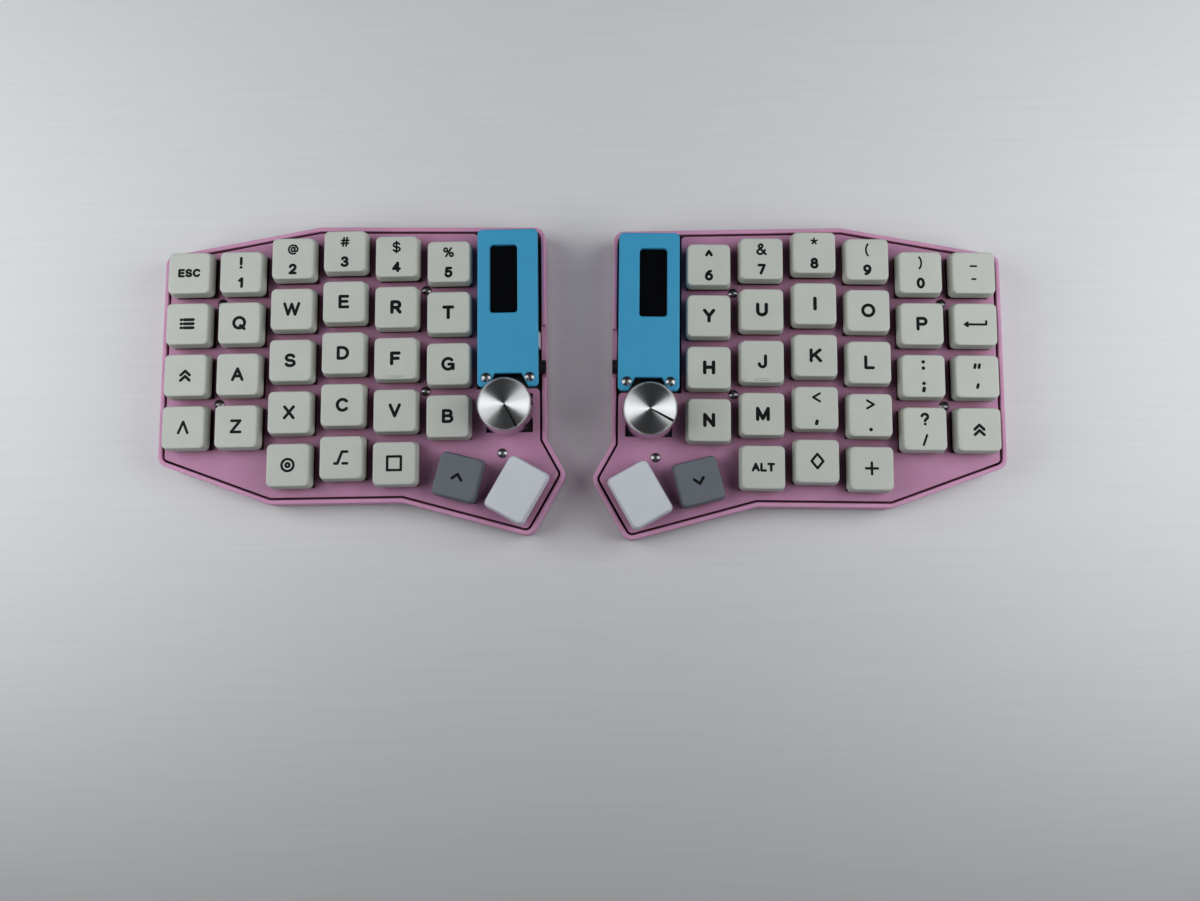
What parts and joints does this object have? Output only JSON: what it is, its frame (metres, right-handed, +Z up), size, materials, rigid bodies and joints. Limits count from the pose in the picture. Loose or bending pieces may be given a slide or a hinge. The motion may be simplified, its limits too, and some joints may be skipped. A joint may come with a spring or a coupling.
{
  "type": "split keyboard",
  "caption": "Split ergonomic keyboard: two mirrored low trays with staggered columns of low keys, thumb keys, a push knob and a small covered display on each half.",
  "frame": {"origin": "middle of the pair's outline, at the bottom of the rubber feet", "axes": "+X to the user's right across both halves, +Y away from the user, +Z up"},
  "size_m": [0.3102, 0.1174, 0.028],
  "materials": {
    "case": "pink moulded plastic, fine grain",
    "plate": "pink plastic sheet, fine grain",
    "cap": "off-white moulded plastic, fine texture",
    "grey_cap": "grey moulded plastic, fine texture",
    "thumb_cap": "white moulded plastic, fine texture",
    "cover": "blue moulded plastic, smooth matte",
    "circuit_board": "black solder mask",
    "display": "dark display glass",
    "knob": "spun aluminium",
    "steel": "plated steel",
    "brass": "turned brass",
    "black_plastic": "black moulded plastic",
    "rubber": "black rubber"
  },
  "bodies": {
    "keyboard": {"cable_jacks": "black_plastic", "controller_boards": "circuit_board", "display_modules": "display", "encoder_bodies": "steel", "left_case": "case", "left_circuit_board": "circuit_board", "left_display_cover": "cover", "left_switch_plate": "plate", "reset_switches": "steel", "right_case": "case", "right_circuit_board": "circuit_board", "right_display_cover": "cover", "right_switch_plate": "plate", "rubber_feet": "rubber", "screws": "steel", "standoffs": "brass", "switch_housings": "black_plastic"},
    "left_shaft": {"left_encoder_shaft": "steel"},
    "left_knob": {"left_knob": "knob"},
    "right_shaft": {"right_encoder_shaft": "steel"},
    "right_knob": {"right_knob": "knob"},
    "reset_buttons": {"reset_buttons": "thumb_cap"},
    "left_number_keys": {"left_number_keys": "cap"},
    "left_modifier_keys": {"left_modifier_keys": "cap"},
    "left_layer_key": {"left_layer_key": "grey_cap"},
    "left_space_key": {"left_space_key": "thumb_cap"},
    "right_number_keys": {"right_number_keys": "cap"},
    "right_modifier_keys": {"right_modifier_keys": "cap"},
    "right_layer_key": {"right_layer_key": "grey_cap"},
    "right_space_key": {"right_space_key": "thumb_cap"},
    "key_q": {"key_q": "cap"},
    "key_w": {"key_w": "cap"},
    "key_e": {"key_e": "cap"},
    "key_r": {"key_r": "cap"},
    "key_t": {"key_t": "cap"},
    "key_a": {"key_a": "cap"},
    "key_s": {"key_s": "cap"},
    "key_d": {"key_d": "cap"},
    "key_f": {"key_f": "cap"},
    "key_g": {"key_g": "cap"},
    "key_z": {"key_z": "cap"},
    "key_x": {"key_x": "cap"},
    "key_c": {"key_c": "cap"},
    "key_v": {"key_v": "cap"},
    "key_b": {"key_b": "cap"},
    "key_y": {"key_y": "cap"},
    "key_u": {"key_u": "cap"},
    "key_i": {"key_i": "cap"},
    "key_o": {"key_o": "cap"},
    "key_p": {"key_p": "cap"},
    "key_h": {"key_h": "cap"},
    "key_j": {"key_j": "cap"},
    "key_k": {"key_k": "cap"},
    "key_l": {"key_l": "cap"},
    "key_semicolon": {"key_semicolon": "cap"},
    "key_n": {"key_n": "cap"},
    "key_m": {"key_m": "cap"},
    "key_comma": {"key_comma": "cap"},
    "key_period": {"key_period": "cap"},
    "key_slash": {"key_slash": "cap"}
  },
  "joints": [
    {"name": "dial_left_turn", "type": "hinge", "parent": "keyboard", "child": "left_shaft", "pos_m": [-0.02545, -0.01206, 0.0086], "axis": [0, 0, 1], "continuous": true},
    {"name": "dial_left_push", "type": "slide", "parent": "left_shaft", "child": "left_knob", "axis": [0, 0, -1], "range_m": [0, 0.0005], "stiffness_N_per_m": 2000, "springref_m": -0.001},
    {"name": "dial_right_turn", "type": "hinge", "parent": "keyboard", "child": "right_shaft", "pos_m": [0.02545, -0.01386, 0.0086], "axis": [0, 0, 1], "continuous": true},
    {"name": "dial_right_push", "type": "slide", "parent": "right_shaft", "child": "right_knob", "axis": [0, 0, -1], "range_m": [0, 0.0005], "stiffness_N_per_m": 2000, "springref_m": -0.001},
    {"name": "reset_press", "type": "slide", "parent": "keyboard", "child": "reset_buttons", "axis": [0, 0, -1], "range_m": [0, 0.00025], "stiffness_N_per_m": 4000, "springref_m": -0.0004},
    {"name": "left_number_keys_press", "type": "slide", "parent": "keyboard", "child": "left_number_keys", "axis": [0, 0, -1], "range_m": [0, 0.003], "stiffness_N_per_m": 900, "springref_m": -0.0017},
    {"name": "left_modifier_keys_press", "type": "slide", "parent": "keyboard", "child": "left_modifier_keys", "axis": [0, 0, -1], "range_m": [0, 0.003], "stiffness_N_per_m": 900, "springref_m": -0.0017},
    {"name": "left_layer_key_press", "type": "slide", "parent": "keyboard", "child": "left_layer_key", "axis": [0, 0, -1], "range_m": [0, 0.003], "stiffness_N_per_m": 150, "springref_m": -0.0017},
    {"name": "left_space_key_press", "type": "slide", "parent": "keyboard", "child": "left_space_key", "axis": [0, 0, -1], "range_m": [0, 0.003], "stiffness_N_per_m": 150, "springref_m": -0.0017},
    {"name": "right_number_keys_press", "type": "slide", "parent": "keyboard", "child": "right_number_keys", "axis": [0, 0, -1], "range_m": [0, 0.003], "stiffness_N_per_m": 900, "springref_m": -0.0017},
    {"name": "right_modifier_keys_press", "type": "slide", "parent": "keyboard", "child": "right_modifier_keys", "axis": [0, 0, -1], "range_m": [0, 0.003], "stiffness_N_per_m": 900, "springref_m": -0.0017},
    {"name": "right_layer_key_press", "type": "slide", "parent": "keyboard", "child": "right_layer_key", "axis": [0, 0, -1], "range_m": [0, 0.003], "stiffness_N_per_m": 150, "springref_m": -0.0017},
    {"name": "right_space_key_press", "type": "slide", "parent": "keyboard", "child": "right_space_key", "axis": [0, 0, -1], "range_m": [0, 0.003], "stiffness_N_per_m": 150, "springref_m": -0.0017},
    {"name": "key_q_press", "type": "slide", "parent": "keyboard", "child": "key_q", "axis": [0, 0, -1], "range_m": [0, 0.003], "stiffness_N_per_m": 150, "springref_m": -0.0017},
    {"name": "key_w_press", "type": "slide", "parent": "keyboard", "child": "key_w", "axis": [0, 0, -1], "range_m": [0, 0.003], "stiffness_N_per_m": 150, "springref_m": -0.0017},
    {"name": "key_e_press", "type": "slide", "parent": "keyboard", "child": "key_e", "axis": [0, 0, -1], "range_m": [0, 0.003], "stiffness_N_per_m": 150, "springref_m": -0.0017},
    {"name": "key_r_press", "type": "slide", "parent": "keyboard", "child": "key_r", "axis": [0, 0, -1], "range_m": [0, 0.003], "stiffness_N_per_m": 150, "springref_m": -0.0017},
    {"name": "key_t_press", "type": "slide", "parent": "keyboard", "child": "key_t", "axis": [0, 0, -1], "range_m": [0, 0.003], "stiffness_N_per_m": 150, "springref_m": -0.0017},
    {"name": "key_a_press", "type": "slide", "parent": "keyboard", "child": "key_a", "axis": [0, 0, -1], "range_m": [0, 0.003], "stiffness_N_per_m": 150, "springref_m": -0.0017},
    {"name": "key_s_press", "type": "slide", "parent": "keyboard", "child": "key_s", "axis": [0, 0, -1], "range_m": [0, 0.003], "stiffness_N_per_m": 150, "springref_m": -0.0017},
    {"name": "key_d_press", "type": "slide", "parent": "keyboard", "child": "key_d", "axis": [0, 0, -1], "range_m": [0, 0.003], "stiffness_N_per_m": 150, "springref_m": -0.0017},
    {"name": "key_f_press", "type": "slide", "parent": "keyboard", "child": "key_f", "axis": [0, 0, -1], "range_m": [0, 0.003], "stiffness_N_per_m": 150, "springref_m": -0.0017},
    {"name": "key_g_press", "type": "slide", "parent": "keyboard", "child": "key_g", "axis": [0, 0, -1], "range_m": [0, 0.003], "stiffness_N_per_m": 150, "springref_m": -0.0017},
    {"name": "key_z_press", "type": "slide", "parent": "keyboard", "child": "key_z", "axis": [0, 0, -1], "range_m": [0, 0.003], "stiffness_N_per_m": 150, "springref_m": -0.0017},
    {"name": "key_x_press", "type": "slide", "parent": "keyboard", "child": "key_x", "axis": [0, 0, -1], "range_m": [0, 0.003], "stiffness_N_per_m": 150, "springref_m": -0.0017},
    {"name": "key_c_press", "type": "slide", "parent": "keyboard", "child": "key_c", "axis": [0, 0, -1], "range_m": [0, 0.003], "stiffness_N_per_m": 150, "springref_m": -0.0017},
    {"name": "key_v_press", "type": "slide", "parent": "keyboard", "child": "key_v", "axis": [0, 0, -1], "range_m": [0, 0.003], "stiffness_N_per_m": 150, "springref_m": -0.0017},
    {"name": "key_b_press", "type": "slide", "parent": "keyboard", "child": "key_b", "axis": [0, 0, -1], "range_m": [0, 0.003], "stiffness_N_per_m": 150, "springref_m": -0.0017},
    {"name": "key_y_press", "type": "slide", "parent": "keyboard", "child": "key_y", "axis": [0, 0, -1], "range_m": [0, 0.003], "stiffness_N_per_m": 150, "springref_m": -0.0017},
    {"name": "key_u_press", "type": "slide", "parent": "keyboard", "child": "key_u", "axis": [0, 0, -1], "range_m": [0, 0.003], "stiffness_N_per_m": 150, "springref_m": -0.0017},
    {"name": "key_i_press", "type": "slide", "parent": "keyboard", "child": "key_i", "axis": [0, 0, -1], "range_m": [0, 0.003], "stiffness_N_per_m": 150, "springref_m": -0.0017},
    {"name": "key_o_press", "type": "slide", "parent": "keyboard", "child": "key_o", "axis": [0, 0, -1], "range_m": [0, 0.003], "stiffness_N_per_m": 150, "springref_m": -0.0017},
    {"name": "key_p_press", "type": "slide", "parent": "keyboard", "child": "key_p", "axis": [0, 0, -1], "range_m": [0, 0.003], "stiffness_N_per_m": 150, "springref_m": -0.0017},
    {"name": "key_h_press", "type": "slide", "parent": "keyboard", "child": "key_h", "axis": [0, 0, -1], "range_m": [0, 0.003], "stiffness_N_per_m": 150, "springref_m": -0.0017},
    {"name": "key_j_press", "type": "slide", "parent": "keyboard", "child": "key_j", "axis": [0, 0, -1], "range_m": [0, 0.003], "stiffness_N_per_m": 150, "springref_m": -0.0017},
    {"name": "key_k_press", "type": "slide", "parent": "keyboard", "child": "key_k", "axis": [0, 0, -1], "range_m": [0, 0.003], "stiffness_N_per_m": 150, "springref_m": -0.0017},
    {"name": "key_l_press", "type": "slide", "parent": "keyboard", "child": "key_l", "axis": [0, 0, -1], "range_m": [0, 0.003], "stiffness_N_per_m": 150, "springref_m": -0.0017},
    {"name": "key_semicolon_press", "type": "slide", "parent": "keyboard", "child": "key_semicolon", "axis": [0, 0, -1], "range_m": [0, 0.003], "stiffness_N_per_m": 150, "springref_m": -0.0017},
    {"name": "key_n_press", "type": "slide", "parent": "keyboard", "child": "key_n", "axis": [0, 0, -1], "range_m": [0, 0.003], "stiffness_N_per_m": 150, "springref_m": -0.0017},
    {"name": "key_m_press", "type": "slide", "parent": "keyboard", "child": "key_m", "axis": [0, 0, -1], "range_m": [0, 0.003], "stiffness_N_per_m": 150, "springref_m": -0.0017},
    {"name": "key_comma_press", "type": "slide", "parent": "keyboard", "child": "key_comma", "axis": [0, 0, -1], "range_m": [0, 0.003], "stiffness_N_per_m": 150, "springref_m": -0.0017},
    {"name": "key_period_press", "type": "slide", "parent": "keyboard", "child": "key_period", "axis": [0, 0, -1], "range_m": [0, 0.003], "stiffness_N_per_m": 150, "springref_m": -0.0017},
    {"name": "key_slash_press", "type": "slide", "parent": "keyboard", "child": "key_slash", "axis": [0, 0, -1], "range_m": [0, 0.003], "stiffness_N_per_m": 150, "springref_m": -0.0017}
  ]
}
